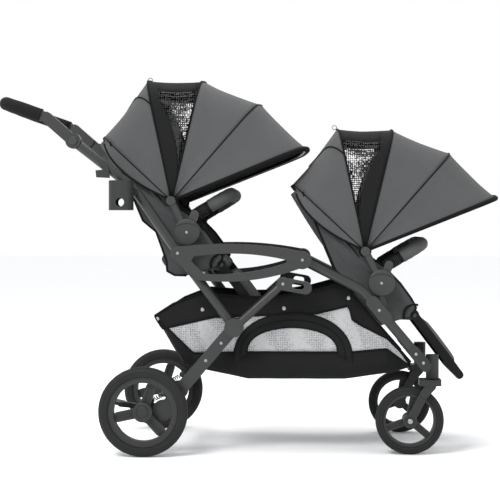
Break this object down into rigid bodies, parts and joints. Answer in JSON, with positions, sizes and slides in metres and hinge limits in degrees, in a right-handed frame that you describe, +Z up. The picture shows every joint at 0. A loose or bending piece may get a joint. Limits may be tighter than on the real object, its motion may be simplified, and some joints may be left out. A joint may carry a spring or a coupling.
{
  "type": "tandem folding stroller",
  "caption": "Folding tandem stroller with two hooded seats in line, four wheels, a storage basket and an adjustable foam handle.",
  "frame": {"origin": "on the ground, under the centre of the bounding box", "axes": "+X forward in the direction of travel, +Y to the left side, +Z up"},
  "size_m": [1.462, 0.6763, 1.0884],
  "materials": {
    "frame_tube": "satin charcoal paint on aluminium tube",
    "dark_moulding": "dark grey moulded nylon",
    "steel": "zinc-plated steel",
    "spring_steel": "black spring steel",
    "rubber": "matte dark tyre",
    "rim_plastic": "dark grey moulded rim",
    "foam": "soft closed-cell foam",
    "grey_fabric": "heathered grey woven polyester",
    "black_fabric": "black woven nylon",
    "button_plastic": "satin grey plastic"
  },
  "bodies": {
    "frame": {"arm_loop_right": "frame_tube", "arm_loop_left": "frame_tube", "rear_leg_right": "frame_tube", "rear_leg_left": "frame_tube", "side_struts": "frame_tube", "rear_cross_tube": "frame_tube", "basket": "black_fabric", "frame_screws": "steel", "rear_springs": "spring_steel", "rear_seat_frame": "dark_moulding", "rear_seat_cushion": "grey_fabric", "rear_canopy_cloth": "grey_fabric", "rear_canopy_back_cloth": "grey_fabric"},
    "front_frame": {"front_tube_right": "frame_tube", "front_tube_left": "frame_tube", "front_cross_tube": "frame_tube", "caster_housings": "dark_moulding", "front_screws": "steel", "front_seat_frame": "dark_moulding", "front_seat_cushion": "grey_fabric", "front_canopy_cloth": "grey_fabric", "front_canopy_back_cloth": "grey_fabric"},
    "handle": {"handle_tube_right": "frame_tube", "handle_tube_left": "frame_tube", "latch_hooks": "dark_moulding", "cup_holder": "dark_moulding"},
    "handle_bar": {"handle_bar": "frame_tube", "foam_grip": "foam"},
    "brake_pedal": {"brake_pedal": "dark_moulding"},
    "handle_button_right": {"handle_button_right": "button_plastic"},
    "swing_arm_right": {"swing_arm_right": "dark_moulding"},
    "rear_wheel_right": {"rear_tyre_right": "rubber", "rear_rim_right": "rim_plastic"},
    "caster_fork_right": {"caster_fork_right": "dark_moulding"},
    "caster_arm_right": {"caster_arm_right": "dark_moulding"},
    "front_wheel_right": {"front_tyre_right": "rubber", "front_rim_right": "rim_plastic"},
    "handle_button_left": {"handle_button_left": "button_plastic"},
    "swing_arm_left": {"swing_arm_left": "dark_moulding"},
    "rear_wheel_left": {"rear_tyre_left": "rubber", "rear_rim_left": "rim_plastic"},
    "caster_fork_left": {"caster_fork_left": "dark_moulding"},
    "caster_arm_left": {"caster_arm_left": "dark_moulding"},
    "front_wheel_left": {"front_tyre_left": "rubber", "front_rim_left": "rim_plastic"},
    "rear_seat_back": {"rear_back_frame": "frame_tube", "rear_back_pad": "grey_fabric"},
    "rear_leg_rest": {"rear_leg_rest": "black_fabric"},
    "rear_bumper_bar": {"rear_bumper_bar": "foam"},
    "rear_canopy_bow_second": {"rear_canopy_bow_second": "frame_tube"},
    "rear_canopy_bow_third": {"rear_canopy_bow_third": "frame_tube"},
    "rear_canopy_bow_front": {"rear_canopy_bow_front": "frame_tube"},
    "front_seat_back": {"front_back_frame": "frame_tube", "front_back_pad": "grey_fabric"},
    "front_leg_rest": {"front_leg_rest": "black_fabric"},
    "front_bumper_bar": {"front_bumper_bar": "foam"},
    "front_canopy_bow_second": {"front_canopy_bow_second": "frame_tube"},
    "front_canopy_bow_third": {"front_canopy_bow_third": "frame_tube"},
    "front_canopy_bow_front": {"front_canopy_bow_front": "frame_tube"}
  },
  "joints": [
    {"name": "front_fold", "type": "hinge", "parent": "frame", "child": "front_frame", "pos_m": [0.157, 0, 0.557], "axis": [0, 1, 0], "range_deg": [0, 52], "deforming": ["basket"]},
    {"name": "handle_fold", "type": "hinge", "parent": "frame", "child": "handle", "pos_m": [-0.197, 0, 0.576], "axis": [0, 1, 0], "range_deg": [0, 99]},
    {"name": "handle_adjust", "type": "hinge", "parent": "handle", "child": "handle_bar", "pos_m": [-0.4975, 0, 0.8963], "axis": [0, 1, 0], "range_deg": [-45, 45]},
    {"name": "button_press_right", "type": "slide", "parent": "handle_bar", "child": "handle_button_right", "axis": [0, 1, 0], "range_m": [0, 0.003], "stiffness_N_per_m": 900, "springref_m": -0.002},
    {"name": "rear_suspension_right", "type": "hinge", "parent": "frame", "child": "swing_arm_right", "pos_m": [-0.241, -0.259, 0.127], "axis": [0, 1, 0], "range_deg": [0, 10], "stiffness_Nm_per_rad": 25, "springref_deg": -17.19, "deforming": ["rear_springs"]},
    {"name": "rear_wheel_spin_right", "type": "hinge", "parent": "swing_arm_right", "child": "rear_wheel_right", "pos_m": [-0.294, -0.308, 0.127], "axis": [0, 1, 0], "continuous": true},
    {"name": "caster_swivel_right", "type": "hinge", "parent": "front_frame", "child": "caster_fork_right", "pos_m": [0.5286, -0.233, 0.25], "axis": [0, 0, 1], "continuous": true},
    {"name": "caster_suspension_right", "type": "hinge", "parent": "caster_fork_right", "child": "caster_arm_right", "pos_m": [0.5047, -0.233, 0.1767], "axis": [0, 1, 0], "range_deg": [0, 8], "stiffness_Nm_per_rad": 20, "springref_deg": -17.19},
    {"name": "front_wheel_spin_right", "type": "hinge", "parent": "caster_arm_right", "child": "front_wheel_right", "pos_m": [0.464, -0.233, 0.0975], "axis": [0, 1, 0], "continuous": true},
    {"name": "button_press_left", "type": "slide", "parent": "handle_bar", "child": "handle_button_left", "axis": [0, -1, 0], "range_m": [0, 0.003], "stiffness_N_per_m": 900, "springref_m": -0.002},
    {"name": "rear_suspension_left", "type": "hinge", "parent": "frame", "child": "swing_arm_left", "pos_m": [-0.241, 0.259, 0.127], "axis": [0, 1, 0], "range_deg": [0, 10], "stiffness_Nm_per_rad": 25, "springref_deg": -17.19, "deforming": ["rear_springs"]},
    {"name": "rear_wheel_spin_left", "type": "hinge", "parent": "swing_arm_left", "child": "rear_wheel_left", "pos_m": [-0.294, 0.308, 0.127], "axis": [0, 1, 0], "continuous": true},
    {"name": "caster_swivel_left", "type": "hinge", "parent": "front_frame", "child": "caster_fork_left", "pos_m": [0.5286, 0.233, 0.25], "axis": [0, 0, 1], "continuous": true},
    {"name": "caster_suspension_left", "type": "hinge", "parent": "caster_fork_left", "child": "caster_arm_left", "pos_m": [0.5047, 0.233, 0.1767], "axis": [0, 1, 0], "range_deg": [0, 8], "stiffness_Nm_per_rad": 20, "springref_deg": -17.19},
    {"name": "front_wheel_spin_left", "type": "hinge", "parent": "caster_arm_left", "child": "front_wheel_left", "pos_m": [0.464, 0.233, 0.0975], "axis": [0, 1, 0], "continuous": true},
    {"name": "brake_press", "type": "hinge", "parent": "swing_arm_right", "child": "brake_pedal", "pos_m": [-0.328, -0.25, 0.135], "axis": [0, -1, 0], "range_deg": [0, 18]},
    {"name": "rear_seat_recline", "type": "hinge", "parent": "frame", "child": "rear_seat_back", "pos_m": [-0.175, 0, 0.635], "axis": [0, -1, 0], "range_deg": [0, 20], "deforming": ["rear_canopy_back_cloth"]},
    {"name": "rear_leg_rest_lift", "type": "hinge", "parent": "frame", "child": "rear_leg_rest", "pos_m": [-0.078, 0, 0.541], "axis": [0, -1, 0], "range_deg": [0, 35]},
    {"name": "rear_bumper_lift", "type": "hinge", "parent": "frame", "child": "rear_bumper_bar", "pos_m": [-0.153, 0, 0.687], "axis": [0, -1, 0], "range_deg": [0, 70]},
    {"name": "rear_canopy_fold", "type": "hinge", "parent": "frame", "child": "rear_canopy_bow_second", "pos_m": [-0.221, 0, 0.726], "axis": [0, -1, 0], "range_deg": [0, 18], "deforming": ["rear_canopy_cloth"]},
    {"name": "rear_canopy_fold_third", "type": "hinge", "parent": "rear_canopy_bow_second", "child": "rear_canopy_bow_third", "pos_m": [-0.221, 0, 0.726], "axis": [0, -1, 0], "range_deg": [0, 18], "deforming": ["rear_canopy_cloth"]},
    {"name": "rear_canopy_fold_front", "type": "hinge", "parent": "rear_canopy_bow_third", "child": "rear_canopy_bow_front", "pos_m": [-0.221, 0, 0.726], "axis": [0, -1, 0], "range_deg": [0, 18], "deforming": ["rear_canopy_cloth"]},
    {"name": "front_seat_recline", "type": "hinge", "parent": "front_frame", "child": "front_seat_back", "pos_m": [0.383, 0, 0.49], "axis": [0, -1, 0], "range_deg": [0, 20], "deforming": ["front_canopy_back_cloth"]},
    {"name": "front_leg_rest_lift", "type": "hinge", "parent": "front_frame", "child": "front_leg_rest", "pos_m": [0.48, 0, 0.396], "axis": [0, -1, 0], "range_deg": [0, 35]},
    {"name": "front_bumper_lift", "type": "hinge", "parent": "front_frame", "child": "front_bumper_bar", "pos_m": [0.405, 0, 0.542], "axis": [0, -1, 0], "range_deg": [0, 70]},
    {"name": "front_canopy_fold", "type": "hinge", "parent": "front_frame", "child": "front_canopy_bow_second", "pos_m": [0.337, 0, 0.581], "axis": [0, -1, 0], "range_deg": [0, 18], "deforming": ["front_canopy_cloth"]},
    {"name": "front_canopy_fold_third", "type": "hinge", "parent": "front_canopy_bow_second", "child": "front_canopy_bow_third", "pos_m": [0.337, 0, 0.581], "axis": [0, -1, 0], "range_deg": [0, 18], "deforming": ["front_canopy_cloth"]},
    {"name": "front_canopy_fold_front", "type": "hinge", "parent": "front_canopy_bow_third", "child": "front_canopy_bow_front", "pos_m": [0.337, 0, 0.581], "axis": [0, -1, 0], "range_deg": [0, 18], "deforming": ["front_canopy_cloth"]}
  ],
  "couplings": [
    {"joint": "handle_fold", "follows": "front_fold", "ratio": 1.9038},
    {"joint": "rear_canopy_fold_third", "follows": "rear_canopy_fold", "ratio": 1},
    {"joint": "rear_canopy_fold_front", "follows": "rear_canopy_fold", "ratio": 1},
    {"joint": "front_canopy_fold_third", "follows": "front_canopy_fold", "ratio": 1},
    {"joint": "front_canopy_fold_front", "follows": "front_canopy_fold", "ratio": 1}
  ]
}
